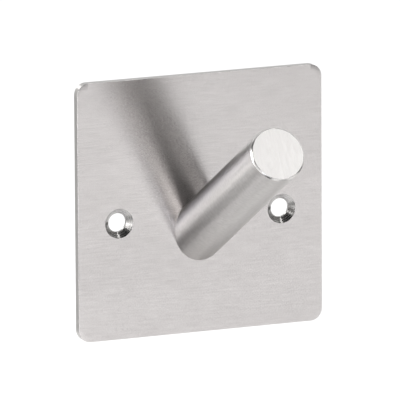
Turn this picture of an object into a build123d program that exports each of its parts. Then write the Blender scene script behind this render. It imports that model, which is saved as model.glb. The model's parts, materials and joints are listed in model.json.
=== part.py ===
from build123d import *
import math
import os

# Wall hook: a square brushed plate with a round peg slanting up and out of it.
# Millimetres. The wall is the plane y = 0, the hook faces -Y, +Z is up, and the origin is the centre of the
# plate's back face.

# Back plate
PLATE_WIDTH = 60.0
PLATE_HEIGHT = 60.0
PLATE_THICKNESS = 2.0
PLATE_CORNER_RADIUS = 2.8
PLATE_EDGE_RADIUS = 0.15  # front edges, dulled by the finishing belt

# Screw holes, countersunk from the front for 4 mm screws
SCREW_SPACING = 40.0
SCREW_HEIGHT = -3.0  # over the plate's centre
SCREW_HOLE_DIAMETER = 4.3
COUNTERSINK_DIAMETER = 6.8
COUNTERSINK_ANGLE = 90.0

# Peg
PEG_DIAMETER = 12.7
PEG_RISE = 30.0  # degrees above level
PEG_FOOT_HEIGHT = -6.0  # of the foot's centre, over the plate's centre
PEG_PROJECTION = 50.5  # from the wall to the foremost point of the peg's end face
PEG_END_CHAMFER = 0.45
PEG_FOOT_CHAMFER = 0.15  # broken edge of the mitre, which leaves a fine seam on the plate

# Plug weld, which holds the peg from behind
WELD_DIAMETER = 8.0

# Derived places
PLATE_FRONT = Plane.XZ.offset(PLATE_THICKNESS)
PEG_RADIUS = PEG_DIAMETER / 2
PEG_SLANT = math.radians(PEG_RISE)
END_FACE_RADIUS = PEG_RADIUS - PEG_END_CHAMFER
PEG_REACH = PEG_PROJECTION - PLATE_THICKNESS - END_FACE_RADIUS * math.sin(PEG_SLANT)  # of the end's centre
PEG_LENGTH = PEG_REACH / math.cos(PEG_SLANT)
MITRE_OVERRUN = PEG_DIAMETER * math.tan(PEG_SLANT)  # bar behind the plate's front before the mitre cut
PEG_PLANE = Plane(
    origin=(0, -PLATE_THICKNESS, PEG_FOOT_HEIGHT),
    x_dir=(1, 0, 0),
    z_dir=(0, -math.cos(PEG_SLANT), math.sin(PEG_SLANT)),
)


def make_weld():
    """Disc of filler metal as deep as the plate, flush with its back face and fused to the peg's foot."""
    disc = Plane.XZ * Pos(0, PEG_FOOT_HEIGHT) * Circle(WELD_DIAMETER / 2)
    return extrude(disc, amount=PLATE_THICKNESS)


def make_plate():
    """Rounded square sheet with dulled front edges, two countersunk holes and the hole that the weld fills."""
    outline = RectangleRounded(PLATE_WIDTH, PLATE_HEIGHT, PLATE_CORNER_RADIUS)
    plate = extrude(Plane.XZ * outline, amount=PLATE_THICKNESS)
    plate = fillet(plate.faces().sort_by(Axis.Y)[0].edges(), PLATE_EDGE_RADIUS)
    screw_hole = CounterSinkHole(
        radius=SCREW_HOLE_DIAMETER / 2,
        counter_sink_radius=COUNTERSINK_DIAMETER / 2,
        depth=PLATE_THICKNESS,
        counter_sink_angle=COUNTERSINK_ANGLE,
    )
    for side in (-1, 1):
        plate -= PLATE_FRONT * Pos(side * SCREW_SPACING / 2, SCREW_HEIGHT) * screw_hole
    return plate - make_weld()


def make_peg():
    """Round bar cut square and chamfered at its end, and mitred at its foot to sit flat on the plate."""
    bar = extrude(PEG_PLANE.offset(-MITRE_OVERRUN) * Circle(PEG_RADIUS), amount=PEG_LENGTH + MITRE_OVERRUN)
    bar = chamfer(bar.edges().filter_by(GeomType.CIRCLE).sort_by(Axis.Y)[0], PEG_END_CHAMFER)
    bar = split(bar, bisect_by=PLATE_FRONT, keep=Keep.TOP)
    return chamfer(bar.faces().sort_by(Axis.Y)[-1].edges(), PEG_FOOT_CHAMFER)


os.makedirs("parts", exist_ok=True)
export_step(make_plate(), "parts/back_plate.step")
export_step(make_peg(), "parts/peg.step")
export_step(make_weld(), "parts/plug_weld.step")
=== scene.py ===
"""Wall hook in brushed stainless steel: its plate, peg and weld, a plain white studio and the camera."""

import json
import math
from collections import namedtuple

import bmesh
import bpy
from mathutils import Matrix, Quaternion, Vector


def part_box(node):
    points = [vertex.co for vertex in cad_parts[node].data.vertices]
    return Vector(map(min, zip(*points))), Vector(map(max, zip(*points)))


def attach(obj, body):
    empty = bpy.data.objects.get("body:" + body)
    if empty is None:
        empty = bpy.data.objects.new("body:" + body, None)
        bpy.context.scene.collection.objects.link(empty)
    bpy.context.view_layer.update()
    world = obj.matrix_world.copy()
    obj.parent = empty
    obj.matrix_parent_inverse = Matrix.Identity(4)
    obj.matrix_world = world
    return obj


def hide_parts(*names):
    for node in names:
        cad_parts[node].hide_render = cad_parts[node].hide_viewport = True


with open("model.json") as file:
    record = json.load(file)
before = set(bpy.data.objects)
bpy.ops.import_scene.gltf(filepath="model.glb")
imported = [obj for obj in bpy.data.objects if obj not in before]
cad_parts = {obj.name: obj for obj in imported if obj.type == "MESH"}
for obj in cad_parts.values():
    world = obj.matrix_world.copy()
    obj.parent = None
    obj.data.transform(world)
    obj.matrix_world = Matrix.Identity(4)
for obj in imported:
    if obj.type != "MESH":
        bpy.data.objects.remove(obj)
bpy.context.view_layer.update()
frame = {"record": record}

MM = 0.001

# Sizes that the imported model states
mounts = {mount["name"]: mount for mount in frame["record"]["mounts"]}
plate_low, plate_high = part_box("back_plate")
peg_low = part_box("peg")[0]
weld_low, weld_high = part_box("plug_weld")
PLATE_WIDTH = plate_high.x - plate_low.x
PLATE_HEIGHT = plate_high.z - plate_low.z
PLATE_THICKNESS = plate_high.y - plate_low.y
FRONT_Y = plate_low.y
BACK_Y = plate_high.y
SCREW_CENTRE = Vector(mounts["wall_screws"]["pos_m"])
SCREW_COUNT = mounts["wall_screws"]["dims"]["count"]
SCREW_SPACING = mounts["wall_screws"]["dims"]["spacing_x_mm"] * MM
BORE_RADIUS = mounts["wall_screws"]["dims"]["hole_r_mm"] * MM
PEG_AXIS = Vector(mounts["hanging_peg"]["axis"]).normalized()
PEG_RADIUS = mounts["hanging_peg"]["dims"]["r_mm"] * MM
WELD_CENTRE = (weld_low + weld_high) / 2
WELD_RADIUS = (weld_high.x - weld_low.x) / 2

# Sizes of the finer forms
CORNER_RADIUS = 2.8 * MM
FRONT_EDGE_RADIUS = 0.06 * MM
BACK_EDGE_RADIUS = 0.1 * MM
COUNTERSINK_RADIUS = 3.4 * MM
RIM_RADIUS = 0.06 * MM
END_CHAMFER = 0.36 * MM
END_EDGE_RADIUS = 0.15 * MM
FOOT_BREAK = 0.15 * MM
WELD_SEAM = 0.12 * MM

# A profile runs on past an eased corner by this many times the corner's radius
EASE_ROOM = 2

# Points round a circle, a plate corner and an eased edge, and how close two points count as one
CIRCLE_STEPS = 128
CORNER_STEPS = 16
EASE_STEPS = 4
SAME_POINT = 0.002 * MM

# How squarely a facet faces a way to count as flat, as brushed with the face, and as turned with the end
FLAT = 0.999
BRUSHED_OVER = 0.3
TURNED_OVER = 0.2

# The peg leans out from upright by this angle, and a form that stands out of the wall turns a quarter
PEG_LEAN = math.acos(PEG_AXIS.z)
OUT_OF_WALL = (math.pi / 2, 0, 0)
ALONG_PEG = (PEG_LEAN, 0, 0)

# Marks of a finish: the size of one, or how far apart its rings are, and how many finer layers they have
Marks = namedtuple("Marks", "size layers")

# Marks on the plate and the weld, sizes along X, Y and Z
BELT_LINE = Marks(Vector((5, 2, 0.36)) * MM, 1)
BELT_CLOUD = Marks(Vector((22, 5, 7)) * MM, 1)
HAIRLINE = Marks(Vector((0.5, 0.5, 0.015)) * MM, 0)
SAW_MARK = Marks(Vector((0.35, 3, 0.35)) * MM, 2)
CUTTER_RING = Marks(0.2 * MM, 1)
ROLLED_CLOUD = Marks(Vector((9, 2, 4)) * MM, 6)
GRINDER_ARC = Marks(0.25 * MM, 3)

# Marks on the peg, sizes along its own axes, Z lengthwise
POLISH_RING = Marks(Vector((0.9, 0.9, 0.4)) * MM, 2)
TOOL_MARK = Marks(Vector((0.9, 0.9, 0.4)) * MM, 1)
SCRATCH = Marks(Vector((0.5, 2.5, 2.5)) * MM, 2)

# Look of a finish: colours of its dark and light marks, roughness of its bright and dull ones, their relief
Look = namedtuple("Look", "dark light bright dull relief")
SHEET_LOOK = Look("#BDB9B8", "#E5E1E0", 0.2, 0.34, 0.0002 * MM)
EDGE_LOOK = Look("#A3A19F", "#B5B3B1", 0.28, 0.4, 0.002 * MM)
CONE_LOOK = Look("#A2A09E", "#BCBAB8", 0.18, 0.34, 0.0005 * MM)
BACK_LOOK = Look("#AEACAA", "#C2C0BE", 0.34, 0.5, 0.001 * MM)
BAR_LOOK = Look("#9A9795", "#C0BDBB", 0.27, 0.33, 0.0005 * MM)
CHAMFER_LOOK = Look("#C4C2C0", "#CCCAC8", 0.18, 0.28, 0.0003 * MM)
END_LOOK = Look("#C9C7C5", "#EBE9E7", 0.3, 0.5, 0.0004 * MM)
WELD_LOOK = Look("#9A9896", "#B6B4B2", 0.32, 0.5, 0.006 * MM)

# How strongly the marks draw reflections out across them
SHEET_DRAW = 0.75
CONE_DRAW = 0.7
BAR_DRAW = 0.98

# Share of the belt's clouds in the sheet's tone, and the noise at its brightest and dullest hairlines
CLOUD_SHARE = 0.25
BRIGHT_HAIR = 0.3
DULL_HAIR = 0.75

# Back of the sheet: strength of each finer layer of its clouds, and the tint that the weld's heat left
ROLLED_GRAIN = 0.65
HEAT_COLOUR = "#B09A78"
HEAT_STRENGTH = 0.55
HEAT_RADIUS = 9.6 * MM

# Middle of the grinder's disc
GRINDER_PIVOT = Vector((-70, 0, -60)) * MM


# Node helpers


def linear(hex_colour):
    """Linear RGBA of an sRGB hex colour."""
    channels = [int(hex_colour[i : i + 2], 16) / 255 for i in (1, 3, 5)]
    return [c / 12.92 if c <= 0.04045 else ((c + 0.055) / 1.055) ** 2.4 for c in channels] + [1.0]


def add_node(tree, kind, settings=None, inputs=None):
    """A new node with its settings, and its inputs set to values or linked to other nodes' sockets."""
    node = tree.nodes.new(kind)
    for name, value in (settings or {}).items():
        setattr(node, name, value)
    for name, value in (inputs or {}).items():
        if isinstance(value, bpy.types.NodeSocket):
            tree.links.new(value, node.inputs[name])
        else:
            node.inputs[name].default_value = value
    return node


def new_material(name):
    """An empty node material and its tree."""
    material = bpy.data.materials.new(name)
    material.use_nodes = True
    material.node_tree.nodes.clear()
    return material, material.node_tree


# Geometry Nodes: a profile with eased corners, turned round an axis or swept round the plate


def form_tree(name, sizes):
    """A tree for a profile and named sizes, with its inputs and the profile's curve, its corners eased."""
    tree = bpy.data.node_groups.new(name, "GeometryNodeTree")
    tree.interface.new_socket("Geometry", in_out="OUTPUT", socket_type="NodeSocketGeometry")
    tree.interface.new_socket("Profile", in_out="INPUT", socket_type="NodeSocketGeometry")
    for label, kind in sizes.items():
        tree.interface.new_socket(label, in_out="INPUT", socket_type=kind)
    given = add_node(tree, "NodeGroupInput").outputs
    line = add_node(tree, "GeometryNodeMeshToCurve", None, {"Mesh": given["Profile"]})
    ease = add_node(tree, "GeometryNodeInputNamedAttribute", {"data_type": "FLOAT"}, {"Name": "ease"})
    eased = add_node(tree, "GeometryNodeFilletCurve", {"mode": "POLY"}, {
        "Curve": line.outputs["Curve"], "Radius": ease.outputs["Attribute"], "Count": given["Ease Steps"]})
    return tree, given, eased.outputs["Curve"]


def sweep(tree, path, profile):
    """A profile carried along a closed path, its doubled points made one."""
    swept = add_node(tree, "GeometryNodeCurveToMesh", None, {"Curve": path, "Profile Curve": profile})
    merged = add_node(tree, "GeometryNodeMergeByDistance", None, {
        "Geometry": swept.outputs["Mesh"], "Distance": SAME_POINT})
    return merged.outputs["Geometry"]


def place_and_finish(tree, form, given, places):
    """Turns the form, puts it at each place, makes the copies real and gives them their finish."""
    turn = add_node(tree, "FunctionNodeEulerToRotation", None, {"Euler": given["Turn"]})
    placed = add_node(tree, "GeometryNodeInstanceOnPoints", None, {
        "Points": places, "Instance": form, "Rotation": turn.outputs["Rotation"]})
    real = add_node(tree, "GeometryNodeRealizeInstances", None, {"Geometry": placed.outputs["Instances"]})
    finished = add_node(tree, "GeometryNodeSetMaterial", None, {
        "Geometry": real.outputs["Geometry"], "Material": given["Finish"]})
    add_node(tree, "NodeGroupOutput", None, {"Geometry": finished.outputs["Geometry"]})


def turned_form_tree():
    """Turns a profile round an axis, mitres its foot and sets the form in a row."""
    tree, given, profile = form_tree("turned_form", {
        "Radius": "NodeSocketFloat", "Steps": "NodeSocketInt", "Ease Steps": "NodeSocketInt",
        "Mitre": "NodeSocketFloat", "Mitre Below": "NodeSocketFloat", "Turn": "NodeSocketVector",
        "Places": "NodeSocketInt", "First Place": "NodeSocketVector", "Spacing": "NodeSocketVector",
        "Finish": "NodeSocketMaterial"})
    circle = add_node(tree, "GeometryNodeCurvePrimitiveCircle", {"mode": "RADIUS"}, {
        "Resolution": given["Steps"], "Radius": given["Radius"]})
    form = sweep(tree, circle.outputs["Curve"], profile)
    position = add_node(tree, "GeometryNodeInputPosition")
    axes = add_node(tree, "ShaderNodeSeparateXYZ", None, {"Vector": position.outputs["Position"]})
    at_foot = add_node(tree, "FunctionNodeCompare", {"data_type": "FLOAT", "operation": "LESS_THAN"}, {
        "A": axes.outputs["Z"], "B": given["Mitre Below"]})
    lift = add_node(tree, "ShaderNodeMath", {"operation": "MULTIPLY"}, {
        0: axes.outputs["Y"], 1: given["Mitre"]})
    shift = add_node(tree, "ShaderNodeCombineXYZ", None, {"Z": lift.outputs["Value"]})
    mitred = add_node(tree, "GeometryNodeSetPosition", None, {
        "Geometry": form, "Selection": at_foot.outputs["Result"], "Offset": shift.outputs["Vector"]})
    row = add_node(tree, "GeometryNodeMeshLine", {"mode": "OFFSET"}, {
        "Count": given["Places"], "Start Location": given["First Place"], "Offset": given["Spacing"]})
    place_and_finish(tree, mitred.outputs["Geometry"], given, row.outputs["Mesh"])
    return tree


def plate_edge_tree():
    """Carries the plate's edge profile round its outline of straight sides and round corners."""
    tree, given, profile = form_tree("plate_edge", {
        "Width": "NodeSocketFloat", "Height": "NodeSocketFloat", "Corner Radius": "NodeSocketFloat",
        "Corner Steps": "NodeSocketInt", "Ease Steps": "NodeSocketInt", "Turn": "NodeSocketVector",
        "Finish": "NodeSocketMaterial"})
    square = add_node(tree, "GeometryNodeCurvePrimitiveQuadrilateral", {"mode": "RECTANGLE"}, {
        "Width": given["Width"], "Height": given["Height"]})
    outline = add_node(tree, "GeometryNodeFilletCurve", {"mode": "POLY"}, {
        "Curve": square.outputs["Curve"], "Radius": given["Corner Radius"], "Count": given["Corner Steps"]})
    form = sweep(tree, outline.outputs["Curve"], profile)
    place = add_node(tree, "GeometryNodeMeshLine", {"mode": "OFFSET"}, {"Count": 1})
    place_and_finish(tree, form, given, place.outputs["Mesh"])
    return tree


def formed(tree, profile, eases, sizes):
    """The mesh that a tree makes of a profile, pairs of distance out from its path and height, and eases."""
    points = [(out, -height, 0) for out, height in profile]
    mesh = bpy.data.meshes.new("profile")
    mesh.from_pydata(points, [(i, i + 1) for i in range(len(points) - 1)], [])
    mesh.attributes.new("ease", "FLOAT", "POINT").data.foreach_set("value", eases)
    holder = bpy.data.objects.new("profile", mesh)
    bpy.context.scene.collection.objects.link(holder)
    modifier = holder.modifiers.new(tree.name, "NODES")
    modifier.node_group = tree
    sizes = sizes | {"Ease Steps": EASE_STEPS}
    for socket in tree.interface.items_tree:
        if socket.name in sizes:
            modifier[socket.identifier] = sizes[socket.name]
    made = bpy.data.meshes.new_from_object(holder.evaluated_get(bpy.context.evaluated_depsgraph_get()))
    bpy.data.objects.remove(holder)
    bpy.data.meshes.remove(mesh)
    return made


turned_form = turned_form_tree()
plate_edge = plate_edge_tree()


def turned(profile, eases, finish, turn, place, places=1, spacing=(0, 0, 0), mitre=0.0, mitre_below=0.0):
    """A turned form from pairs of radius and height along its axis."""
    path_radius = max(radius for radius, height in profile)
    return formed(turned_form, [(radius - path_radius, height) for radius, height in profile], eases, {
        "Radius": path_radius, "Steps": CIRCLE_STEPS, "Mitre": mitre, "Mitre Below": mitre_below,
        "Turn": turn, "Places": places, "First Place": place, "Spacing": spacing, "Finish": finish})


# Mesh helpers


def add_mesh(bm, mesh):
    """Adds a mesh's faces to a bmesh."""
    bm.from_mesh(mesh)
    bpy.data.meshes.remove(mesh)


def fill_flat(bm, y, normal):
    """A flat face between the open edges that lie in a plane parallel to the wall."""
    edges = [
        edge for edge in bm.edges
        if edge.is_boundary and all(abs(vert.co.y - y) < SAME_POINT for vert in edge.verts)]
    bmesh.ops.triangle_fill(bm, use_beauty=True, edges=edges, normal=normal)


def finish_piece(bm, name, finishes, finish_of, node):
    """Turns a bmesh into a smooth piece with true flats that rides on the hook and replaces a CAD node."""
    bmesh.ops.remove_doubles(bm, verts=bm.verts, dist=SAME_POINT)
    bmesh.ops.recalc_face_normals(bm, faces=bm.faces)
    for facet in bm.faces:
        facet.smooth = True
        facet.material_index = list(finishes).index(finish_of(facet))
    mesh = bpy.data.meshes.new(name)
    bm.to_mesh(mesh)
    bm.free()
    for material in finishes.values():
        mesh.materials.append(material)
    piece = bpy.data.objects.new(name, mesh)
    bpy.context.scene.collection.objects.link(piece)
    piece.modifiers.new("true_flats", "WEIGHTED_NORMAL")
    piece.data = bpy.data.meshes.new_from_object(piece.evaluated_get(bpy.context.evaluated_depsgraph_get()))
    piece.data.name = name
    piece.modifiers.clear()
    bpy.data.meshes.remove(mesh)
    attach(piece, "root")
    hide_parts(node)


# Materials


def finish_steel(material, look, marks, colour=None, dullness=None, more=None):
    """Ends a steel's nodes: bare metal that follows its marks where no colour or dullness is given."""
    tree = material.node_tree
    if colour is None:
        colour = add_node(tree, "ShaderNodeMix", {"data_type": "RGBA"}, {
            "Factor": marks, "A": linear(look.dark), "B": linear(look.light)})
    if dullness is None:
        dullness = add_node(tree, "ShaderNodeMapRange", None, {
            "Value": marks, "To Min": look.bright, "To Max": look.dull})
    bump = add_node(tree, "ShaderNodeBump", None, {
        "Height": marks, "Strength": 1.0, "Distance": look.relief})
    shader = add_node(tree, "ShaderNodeBsdfPrincipled", None, {
        "Base Color": colour.outputs["Result"], "Metallic": 1.0, "Roughness": dullness.outputs["Result"],
        "Normal": bump.outputs["Normal"]} | (more or {}))
    add_node(tree, "ShaderNodeOutputMaterial", None, {"Surface": shader.outputs["BSDF"]})
    return material


def brushed_sheet():
    """Stainless sheet brushed along X on an abrasive belt: level hairlines smear reflections up and down."""
    material, tree = new_material("brushed_stainless_sheet")
    place = add_node(tree, "ShaderNodeTexCoord").outputs["Object"]
    # Belt lines are a few hundredths of a millimetre wide. One set is drawn far coarser, so that it shows.
    drawn = add_node(tree, "ShaderNodeMapping", {"vector_type": "TEXTURE"}, {
        "Vector": place, "Scale": BELT_LINE.size})
    lines = add_node(tree, "ShaderNodeTexNoise", None, {
        "Vector": drawn.outputs["Vector"], "Scale": 1.0, "Detail": BELT_LINE.layers}).outputs["Fac"]
    # The belt bears harder in some places than in others, which leaves broad, very faint clouds.
    broad = add_node(tree, "ShaderNodeMapping", {"vector_type": "TEXTURE"}, {
        "Vector": place, "Scale": BELT_CLOUD.size})
    clouds = add_node(tree, "ShaderNodeTexNoise", None, {
        "Vector": broad.outputs["Vector"], "Scale": 1.0, "Detail": BELT_CLOUD.layers}).outputs["Fac"]
    tone = add_node(tree, "ShaderNodeMix", None, {"Factor": CLOUD_SHARE, "A": lines, "B": clouds})
    # The other set is too fine to show as lines: its dull and bright hairs give reflections long soft ends.
    fine = add_node(tree, "ShaderNodeMapping", {"vector_type": "TEXTURE"}, {
        "Vector": place, "Scale": HAIRLINE.size})
    hairs = add_node(tree, "ShaderNodeTexNoise", None, {
        "Vector": fine.outputs["Vector"], "Scale": 1.0, "Detail": HAIRLINE.layers}).outputs["Fac"]
    colour = add_node(tree, "ShaderNodeMix", {"data_type": "RGBA"}, {
        "Factor": tone.outputs["Result"], "A": linear(SHEET_LOOK.dark), "B": linear(SHEET_LOOK.light)})
    dullness = add_node(tree, "ShaderNodeMapRange", None, {
        "Value": hairs, "From Min": BRIGHT_HAIR, "From Max": DULL_HAIR,
        "To Min": SHEET_LOOK.bright, "To Max": SHEET_LOOK.dull})
    upright = add_node(tree, "ShaderNodeCombineXYZ", None, {"Z": 1.0})
    return finish_steel(material, SHEET_LOOK, lines, colour, dullness, {
        "Anisotropic": SHEET_DRAW, "Tangent": upright.outputs["Vector"]})


def cut_edge():
    """Sawn and lightly filed sheet edge: duller and darker than the face, with short marks across it."""
    material, tree = new_material("cut_stainless_edge")
    place = add_node(tree, "ShaderNodeTexCoord").outputs["Object"]
    across = add_node(tree, "ShaderNodeMapping", {"vector_type": "TEXTURE"}, {
        "Vector": place, "Scale": SAW_MARK.size})
    marks = add_node(tree, "ShaderNodeTexNoise", None, {
        "Vector": across.outputs["Vector"], "Scale": 1.0, "Detail": SAW_MARK.layers}).outputs["Fac"]
    return finish_steel(material, EDGE_LOOK, marks)


def countersunk_steel():
    """Cone and bore left by the cutter: bright, with fine rings that draw reflections out across them."""
    material, tree = new_material("countersunk_stainless")
    place = add_node(tree, "ShaderNodeTexCoord").outputs["Object"]
    axes = add_node(tree, "ShaderNodeSeparateXYZ", None, {"Vector": place}).outputs
    # The two holes lie either side of the middle, so each side of the plate measures from its own hole.
    side = add_node(tree, "ShaderNodeMath", {"operation": "SIGN"}, {0: axes["X"]})
    hole_x = add_node(tree, "ShaderNodeMath", {"operation": "MULTIPLY"}, {
        0: side.outputs["Value"], 1: SCREW_SPACING / 2})
    out_x = add_node(tree, "ShaderNodeMath", {"operation": "SUBTRACT"}, {
        0: axes["X"], 1: hole_x.outputs["Value"]})
    out_z = add_node(tree, "ShaderNodeMath", {"operation": "SUBTRACT"}, {0: axes["Z"], 1: SCREW_CENTRE.z})
    outward = add_node(tree, "ShaderNodeCombineXYZ", None, {
        "X": out_x.outputs["Value"], "Z": out_z.outputs["Value"]})
    radius = add_node(tree, "ShaderNodeVectorMath", {"operation": "LENGTH"}, {
        "Vector": outward.outputs["Vector"]})
    # Cutter marks are about 0.05 mm apart, drawn here four times as far apart so that they show.
    ring = add_node(tree, "ShaderNodeMath", {"operation": "DIVIDE"}, {
        0: radius.outputs["Value"], 1: CUTTER_RING.size})
    rings = add_node(tree, "ShaderNodeTexNoise", {"noise_dimensions": "1D"}, {
        "W": ring.outputs["Value"], "Scale": 1.0, "Detail": CUTTER_RING.layers}).outputs["Fac"]
    # A little of the hole's axis in the tangent keeps it along the surface in the straight bore too.
    slope = add_node(tree, "ShaderNodeCombineXYZ", None, {
        "X": out_x.outputs["Value"], "Y": -BORE_RADIUS, "Z": out_z.outputs["Value"]})
    return finish_steel(material, CONE_LOOK, rings, more={
        "Anisotropic": CONE_DRAW, "Tangent": slope.outputs["Vector"]})


def mill_back():
    """Back of the sheet as rolled: dull grey with faint clouds, straw tinted where the weld heated it."""
    material, tree = new_material("mill_finish_stainless")
    place = add_node(tree, "ShaderNodeTexCoord").outputs["Object"]
    rolled = add_node(tree, "ShaderNodeMapping", {"vector_type": "TEXTURE"}, {
        "Vector": place, "Scale": ROLLED_CLOUD.size})
    clouds = add_node(tree, "ShaderNodeTexNoise", None, {
        "Vector": rolled.outputs["Vector"], "Scale": 1.0, "Detail": ROLLED_CLOUD.layers,
        "Roughness": ROLLED_GRAIN}).outputs["Fac"]
    bare = add_node(tree, "ShaderNodeMix", {"data_type": "RGBA"}, {
        "Factor": clouds, "A": linear(BACK_LOOK.dark), "B": linear(BACK_LOOK.light)})
    from_weld = add_node(tree, "ShaderNodeVectorMath", {"operation": "DISTANCE"}, {
        0: place, 1: WELD_CENTRE})
    heat = add_node(tree, "ShaderNodeMapRange", {"interpolation_type": "SMOOTHSTEP"}, {
        "Value": from_weld.outputs["Value"], "From Min": WELD_RADIUS, "From Max": HEAT_RADIUS,
        "To Min": HEAT_STRENGTH, "To Max": 0.0})
    colour = add_node(tree, "ShaderNodeMix", {"data_type": "RGBA"}, {
        "Factor": heat.outputs["Result"], "A": bare.outputs["Result"], "B": linear(HEAT_COLOUR)})
    return finish_steel(material, BACK_LOOK, clouds, colour)


def satin_bar():
    """Round bar polished on a lathe: fine rings round it, so reflections run as straight bands along it."""
    material, tree = new_material("satin_stainless_bar")
    place = add_node(tree, "ShaderNodeTexCoord").outputs["Object"]
    # Polishing rings are a few hundredths of a millimetre apart, drawn as coarser flecks so that they show.
    along = add_node(tree, "ShaderNodeMapping", {"vector_type": "TEXTURE"}, {
        "Vector": place, "Rotation": ALONG_PEG, "Scale": POLISH_RING.size})
    rings = add_node(tree, "ShaderNodeTexNoise", None, {
        "Vector": along.outputs["Vector"], "Scale": 1.0, "Detail": POLISH_RING.layers}).outputs["Fac"]
    axis = add_node(tree, "ShaderNodeCombineXYZ", None, dict(zip("XYZ", PEG_AXIS)))
    return finish_steel(material, BAR_LOOK, rings, more={
        "Anisotropic": BAR_DRAW, "Tangent": axis.outputs["Vector"]})


def turned_chamfer():
    """Chamfer cut with a lathe tool: smoother than the bar, so it mirrors as a thin bright or dark line."""
    material, tree = new_material("turned_stainless_chamfer")
    place = add_node(tree, "ShaderNodeTexCoord").outputs["Object"]
    # Tool marks are about 0.05 mm apart, drawn here as coarser flecks like those of the bar.
    along = add_node(tree, "ShaderNodeMapping", {"vector_type": "TEXTURE"}, {
        "Vector": place, "Rotation": ALONG_PEG, "Scale": TOOL_MARK.size})
    marks = add_node(tree, "ShaderNodeTexNoise", None, {
        "Vector": along.outputs["Vector"], "Scale": 1.0, "Detail": TOOL_MARK.layers}).outputs["Fac"]
    return finish_steel(material, CHAMFER_LOOK, marks)


def sanded_end():
    """End of the bar, rubbed flat on abrasive paper: pale, with faint scratches up and down."""
    material, tree = new_material("sanded_bar_end")
    place = add_node(tree, "ShaderNodeTexCoord").outputs["Object"]
    # Scratches are about 0.05 mm wide, drawn here ten times as wide so that they show.
    flat = add_node(tree, "ShaderNodeMapping", {"vector_type": "TEXTURE"}, {
        "Vector": place, "Rotation": ALONG_PEG, "Scale": SCRATCH.size})
    scratches = add_node(tree, "ShaderNodeTexNoise", None, {
        "Vector": flat.outputs["Vector"], "Scale": 1.0, "Detail": SCRATCH.layers}).outputs["Fac"]
    return finish_steel(material, END_LOOK, scratches)


def ground_filler():
    """Weld metal ground flush with a disc: darker than the sheet, with coarse slanting arcs."""
    material, tree = new_material("ground_weld_metal")
    place = add_node(tree, "ShaderNodeTexCoord").outputs["Object"]
    # The grinder's disc is far wider than the weld, so its marks are arcs about a point outside the plate.
    disc = add_node(tree, "ShaderNodeVectorMath", {"operation": "DISTANCE"}, {0: place, 1: GRINDER_PIVOT})
    step = add_node(tree, "ShaderNodeMath", {"operation": "DIVIDE"}, {
        0: disc.outputs["Value"], 1: GRINDER_ARC.size})
    arcs = add_node(tree, "ShaderNodeTexNoise", {"noise_dimensions": "1D"}, {
        "W": step.outputs["Value"], "Scale": 1.0, "Detail": GRINDER_ARC.layers}).outputs["Fac"]
    return finish_steel(material, WELD_LOOK, arcs)


# Pieces


def make_plate():
    """Rounded square plate with eased edges, two countersunk screw holes and the hole for the weld."""
    finishes = {
        "face": brushed_sheet(), "edge": cut_edge(), "hole": countersunk_steel(), "back": mill_back()}
    bm = bmesh.new()
    edge_reach = CORNER_RADIUS / 2
    edge_profile = [(-edge_reach, 0), (0, 0), (0, PLATE_THICKNESS), (-edge_reach, PLATE_THICKNESS)]
    add_mesh(bm, formed(plate_edge, edge_profile, [0, BACK_EDGE_RADIUS, FRONT_EDGE_RADIUS, 0], {
        "Width": PLATE_WIDTH, "Height": PLATE_HEIGHT, "Corner Radius": CORNER_RADIUS,
        "Corner Steps": CORNER_STEPS, "Turn": OUT_OF_WALL, "Finish": finishes["edge"]}))
    cone_end = PLATE_THICKNESS - (COUNTERSINK_RADIUS - BORE_RADIUS)
    rim_reach = COUNTERSINK_RADIUS + RIM_RADIUS * EASE_ROOM
    countersink_profile = [
        (BORE_RADIUS + BACK_EDGE_RADIUS * EASE_ROOM, 0), (BORE_RADIUS, 0), (BORE_RADIUS, cone_end),
        (COUNTERSINK_RADIUS, PLATE_THICKNESS), (rim_reach, PLATE_THICKNESS)]
    add_mesh(bm, turned(
        countersink_profile, [0, BACK_EDGE_RADIUS, RIM_RADIUS, RIM_RADIUS, 0], finishes["hole"],
        OUT_OF_WALL, SCREW_CENTRE - Vector((SCREW_SPACING / 2, 0, 0)), SCREW_COUNT, (SCREW_SPACING, 0, 0)))
    weld_hole_profile = [
        (WELD_RADIUS + WELD_SEAM * EASE_ROOM, 0), (WELD_RADIUS, 0), (WELD_RADIUS, PLATE_THICKNESS),
        (WELD_RADIUS + RIM_RADIUS * EASE_ROOM, PLATE_THICKNESS)]
    add_mesh(bm, turned(
        weld_hole_profile, [0, WELD_SEAM, RIM_RADIUS, 0], finishes["edge"], OUT_OF_WALL,
        (WELD_CENTRE.x, BACK_Y, WELD_CENTRE.z)))
    fill_flat(bm, FRONT_Y, (0, -1, 0))
    fill_flat(bm, BACK_Y, (0, 1, 0))

    def finish_of(facet):
        middle = facet.calc_center_median()
        hole = Vector((math.copysign(SCREW_SPACING / 2, middle.x), middle.y, SCREW_CENTRE.z))
        if facet.normal.y < -FLAT:
            return "face"
        if facet.normal.y > FLAT:
            return "back"
        if (middle - hole).length < rim_reach:
            return "hole"
        # The belt that brushed the face went over its eased edge too.
        return "face" if facet.normal.y < -BRUSHED_OVER else "edge"

    finish_piece(bm, "back_plate_brushed", finishes, finish_of, "back_plate")


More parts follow.
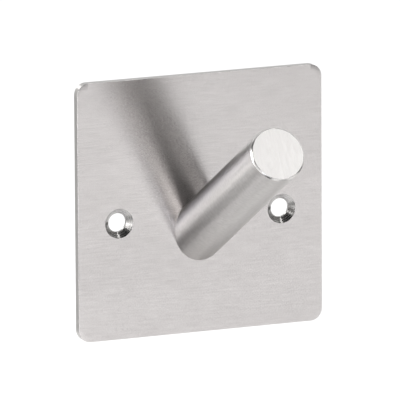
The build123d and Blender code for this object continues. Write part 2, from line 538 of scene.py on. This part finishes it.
def make_peg():
    """Round bar with a chamfered end, mitred to sit flat on the plate."""
    finishes = {"side": satin_bar(), "chamfer": turned_chamfer(), "end": sanded_end()}
    end_drop = (PEG_RADIUS - END_CHAMFER) * math.cos(PEG_LEAN)
    length = (FRONT_Y - peg_low.y - end_drop) / math.sin(PEG_LEAN)
    profile = [
        (0, 0), (PEG_RADIUS - FOOT_BREAK, 0), (PEG_RADIUS, FOOT_BREAK), (PEG_RADIUS, length - END_CHAMFER),
        (PEG_RADIUS - END_CHAMFER, length), (0, length)]
    bm = bmesh.new()
    add_mesh(bm, turned(
        profile, [0, 0, 0, END_EDGE_RADIUS, END_EDGE_RADIUS, 0], finishes["side"], ALONG_PEG,
        (WELD_CENTRE.x, FRONT_Y, WELD_CENTRE.z), mitre=1 / math.tan(PEG_LEAN), mitre_below=length / 2))

    def finish_of(facet):
        facing = facet.normal.dot(PEG_AXIS)
        return "end" if facing > FLAT else "chamfer" if facing > TURNED_OVER else "side"

    finish_piece(bm, "peg_satin_bar", finishes, finish_of, "peg")


def make_weld():
    """Plug of filler metal ground flush with the plate's back."""
    finishes = {"ground": ground_filler()}
    profile = [(0, 0), (WELD_RADIUS, 0), (WELD_RADIUS, PLATE_THICKNESS), (0, PLATE_THICKNESS)]
    bm = bmesh.new()
    add_mesh(bm, turned(
        profile, [0, WELD_SEAM, RIM_RADIUS, 0], finishes["ground"], OUT_OF_WALL,
        (WELD_CENTRE.x, BACK_Y, WELD_CENTRE.z)))
    finish_piece(bm, "plug_weld_ground", finishes, lambda facet: "ground", "plug_weld")


# Studio and camera

WORLD_COLOUR = "#FFFFFF"
FLOOR_COLOUR = "#F4F4F4"
FLOOR_DROP = 150 * MM
FLOOR_SIZE = 6.0
CARD_LIFT = 5 * MM

# Cards on the floor: place, width and depth in metres, and colour
CARDS = {
    "left_card": (-0.57, -0.17, 0.84, 0.45, "#C4C4C4"),
    "dark_card": (-0.17, -0.26, 0.24, 0.29, "#101010"),
    "right_card": (0.68, 0.05, 0.45, 0.8, "#5A5A5A"),
    "back_card": (-0.35, 0.85, 0.7, 0.8, "#B0B0B0"),
    "near_card": (0.1, -0.17, 0.12, 0.16, "#A0A0A0"),
}

# Dark cloths hang round the front: from and to, degrees round from the front, and down to, degrees up
CLOTH_COLOUR = "#303030"
CLOTH_RADIUS = 1.6
CLOTH_STEPS = 72
CLOTHS = ((-115, -75, -90), (-75, -45, 10), (-45, 80, -90), (80, 115, 35))

# Softboxes: degrees round and up, distance, width and height in metres, brightness and colour
SOFTBOXES = {
    "key_softbox": (39.8, 35.4, 1.2, 0.98, 0.32, 3.58, "#FFFFFF"),
    "upper_left_softbox": (-86.0, 16.0, 1.2, 0.62, 0.88, 8.7, "#FFFFFF"),
    "low_strip": (-32.4, 3.9, 1.2, 0.58, 0.76, 0.1, "#FFFFFF"),
    "low_left_lamp": (-22.0, -7.5, 0.85, 0.36, 0.12, 7.5, "#F0F4FF"),
    "front_fill": (0.8, -7.0, 1.2, 1.05, 0.41, 0.18, "#FFFFFF"),
    "top_softbox": (61.0, 65.0, 1.2, 0.36, 0.1, 6.0, "#FFFFFF"),
    "back_lamp": (-167.0, 22.0, 1.2, 0.25, 0.25, 4.5, "#FFFFFF"),
}

# Camera: degrees round, up and of roll, distance, width in view, shift of its aim, and film in millimetres
VIEW_AZIMUTH = -22.3
VIEW_ELEVATION = 12.2
VIEW_ROLL = -0.33
VIEW_DISTANCE = 2.0
VIEW_WIDTH = 91.2 * MM
AIM_RIGHT = 0.62 * MM
AIM_UP = 0.34 * MM
FILM_WIDTH = 36


def aimed(azimuth, elevation):
    """Unit vector from the hook: degrees round from the front, right positive, and degrees up."""
    a, e = math.radians(azimuth), math.radians(elevation)
    return Vector((math.sin(a) * math.cos(e), -math.cos(a) * math.cos(e), math.sin(e)))


def matt(name, colour):
    """Matt paper or cloth."""
    material, tree = new_material(name)
    shader = add_node(tree, "ShaderNodeBsdfDiffuse", None, {"Color": linear(colour)})
    add_node(tree, "ShaderNodeOutputMaterial", None, {"Surface": shader.outputs["BSDF"]})
    return material


def stage_piece(bm, name, colour, in_view):
    """A matt stage piece; one that isn't in view shows in reflections only and casts no shadow."""
    mesh = bpy.data.meshes.new(name)
    bm.to_mesh(mesh)
    bm.free()
    mesh.materials.append(matt(name + "_matt", colour))
    piece = bpy.data.objects.new(name, mesh)
    bpy.context.scene.collection.objects.link(piece)
    piece.visible_camera = in_view
    piece.visible_diffuse = in_view
    piece.visible_shadow = in_view


def level_sheet(x, y, width, depth, z):
    """A level rectangle about a place, at a height."""
    bm = bmesh.new()
    bmesh.ops.create_grid(bm, x_segments=1, y_segments=1, size=1)
    for vert in bm.verts:
        vert.co = (x + vert.co.x * width / 2, y + vert.co.y * depth / 2, z)
    return bm


def hung_cloths(floor_z):
    """The parts of a ball round the hook that the cloths cover, above the floor."""
    bm = bmesh.new()
    bmesh.ops.create_uvsphere(bm, u_segments=CLOTH_STEPS, v_segments=CLOTH_STEPS // 2, radius=CLOTH_RADIUS)
    bare = []
    for face in bm.faces:
        middle = face.calc_center_median()
        azimuth = math.degrees(math.atan2(middle.x, -middle.y))
        elevation = math.degrees(math.asin(middle.z / middle.length))
        covered = any(left < azimuth < right and elevation > low for left, right, low in CLOTHS)
        if not covered or middle.z < floor_z:
            bare.append(face)
    bmesh.ops.delete(bm, geom=bare, context="FACES")
    return bm


def make_stage():
    """White floor and world, cards and dark cloths that only the steel mirrors, and softboxes."""
    world = bpy.data.worlds.new("white_studio")
    bpy.context.scene.world = world
    world.use_nodes = True
    world.node_tree.nodes["Background"].inputs["Color"].default_value = linear(WORLD_COLOUR)
    world.cycles.sampling_method = "NONE"
    floor_z = plate_low.z - FLOOR_DROP
    stage_piece(level_sheet(0, 0, FLOOR_SIZE, FLOOR_SIZE, floor_z), "floor", FLOOR_COLOUR, True)
    for layer, (name, (x, y, width, depth, colour)) in enumerate(CARDS.items(), 1):
        stage_piece(level_sheet(x, y, width, depth, floor_z + layer * CARD_LIFT), name, colour, False)
    stage_piece(hung_cloths(floor_z), "dark_cloths", CLOTH_COLOUR, False)
    for name, (azimuth, elevation, distance, width, height, brightness, colour) in SOFTBOXES.items():
        lamp = bpy.data.lights.new(name, "AREA")
        lamp.shape = "RECTANGLE"
        lamp.size = width
        lamp.size_y = height
        # A lamp of brightness 1 gives off pi watts from each square metre.
        lamp.energy = brightness * math.pi * width * height
        lamp.color = linear(colour)[:3]
        box = bpy.data.objects.new(name, lamp)
        box.location = aimed(azimuth, elevation) * distance
        box.rotation_mode = "QUATERNION"
        box.rotation_quaternion = aimed(azimuth, elevation).to_track_quat("Z", "Y")
        box.visible_camera = False
        bpy.context.scene.collection.objects.link(box)


def make_camera():
    """Long lens at the photograph's angle."""
    back = aimed(VIEW_AZIMUTH, VIEW_ELEVATION)
    data = bpy.data.cameras.new("camera")
    data.sensor_width = FILM_WIDTH
    data.lens = FILM_WIDTH * VIEW_DISTANCE / VIEW_WIDTH
    data.clip_end = FLOOR_SIZE * 2
    camera = bpy.data.objects.new("camera", data)
    camera.rotation_mode = "QUATERNION"
    turn = back.to_track_quat("Z", "Y") @ Quaternion((0, 0, 1), math.radians(VIEW_ROLL))
    camera.rotation_quaternion = turn
    camera.location = turn @ Vector((AIM_RIGHT, AIM_UP, 0)) + back * VIEW_DISTANCE
    bpy.context.scene.collection.objects.link(camera)
    bpy.context.scene.camera = camera


bpy.context.scene.view_settings.view_transform = "Standard"
make_plate()
make_peg()
make_weld()
make_stage()
make_camera()
